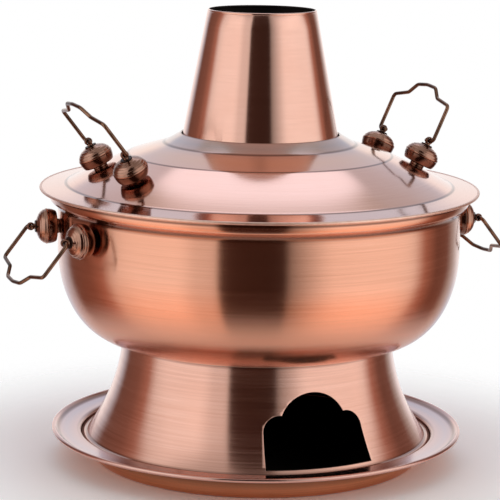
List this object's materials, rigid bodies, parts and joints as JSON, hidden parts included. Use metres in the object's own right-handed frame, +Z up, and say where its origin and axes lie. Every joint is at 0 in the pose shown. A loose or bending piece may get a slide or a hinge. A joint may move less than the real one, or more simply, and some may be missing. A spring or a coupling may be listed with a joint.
{
  "type": "chimney hot pot",
  "caption": "Spun-copper charcoal hot pot with a central chimney, lift-off ring lid, flared stand with a cloud-shaped draft opening, loose tray and wire bail handles.",
  "frame": {"origin": "on the chimney's axis, at the underside of the tray", "axes": "+Z up along the chimney, +X towards the right pair of handles as seen from the draft opening, and the draft opening faces -Y"},
  "size_m": [0.3566, 0.3, 0.3093],
  "materials": {
    "brushed_copper": "lathe-brushed satin copper",
    "antique_copper": "darkened, half-bright copper",
    "blackened_washer": "blackened",
    "cast_grate": "rough cast, heat-darkened"
  },
  "bodies": {
    "tray": {"tray": "brushed_copper"},
    "pot": {"stand": "brushed_copper", "bowl": "brushed_copper", "chimney": "brushed_copper", "grate": "cast_grate", "grate_lugs": "antique_copper", "lug_rivets": "antique_copper", "pot_left_necks": "antique_copper", "pot_left_knob_cups": "antique_copper", "pot_left_knob_caps": "antique_copper", "pot_left_nose_washers": "blackened_washer", "pot_left_eye_bolts": "antique_copper", "pot_left_inner_washers": "antique_copper", "pot_left_cap_nuts": "antique_copper", "pot_right_necks": "antique_copper", "pot_right_knob_cups": "antique_copper", "pot_right_knob_caps": "antique_copper", "pot_right_nose_washers": "blackened_washer", "pot_right_eye_bolts": "antique_copper", "pot_right_inner_washers": "antique_copper", "pot_right_cap_nuts": "antique_copper"},
    "lid": {"lid": "brushed_copper", "lid_left_necks": "antique_copper", "lid_left_knob_cups": "antique_copper", "lid_left_knob_caps": "antique_copper", "lid_left_nose_washers": "blackened_washer", "lid_left_eye_bolts": "antique_copper", "lid_left_inner_washers": "antique_copper", "lid_left_cap_nuts": "antique_copper", "lid_right_necks": "antique_copper", "lid_right_knob_cups": "antique_copper", "lid_right_knob_caps": "antique_copper", "lid_right_nose_washers": "blackened_washer", "lid_right_eye_bolts": "antique_copper", "lid_right_inner_washers": "antique_copper", "lid_right_cap_nuts": "antique_copper"},
    "lid_left_bail": {"lid_left_bail": "antique_copper"},
    "lid_right_bail": {"lid_right_bail": "antique_copper"},
    "pot_left_bail": {"pot_left_bail": "antique_copper"},
    "pot_right_bail": {"pot_right_bail": "antique_copper"}
  },
  "joints": [
    {"name": "pot_lift", "type": "slide", "parent": "tray", "child": "pot", "axis": [0, 0, 1], "range_m": [0, 0.06]},
    {"name": "lid_lift", "type": "slide", "parent": "pot", "child": "lid", "axis": [0, 0, 1], "range_m": [0, 0.12]},
    {"name": "lid_left_bail_hinge", "type": "hinge", "parent": "lid", "child": "lid_left_bail", "pos_m": [-0.11208, 0, 0.21954], "axis": [0, -1, 0], "range_deg": [-98, 62]},
    {"name": "lid_right_bail_hinge", "type": "hinge", "parent": "lid", "child": "lid_right_bail", "pos_m": [0.11208, 0, 0.21954], "axis": [0, 1, 0], "range_deg": [-85, 75]},
    {"name": "pot_left_bail_hinge", "type": "hinge", "parent": "pot", "child": "pot_left_bail", "pos_m": [-0.15307, 0, 0.1638], "axis": [0, -1, 0], "range_deg": [-136, 36]},
    {"name": "pot_right_bail_hinge", "type": "hinge", "parent": "pot", "child": "pot_right_bail", "pos_m": [0.15307, 0, 0.1638], "axis": [0, 1, 0], "range_deg": [-136, 36]}
  ]
}
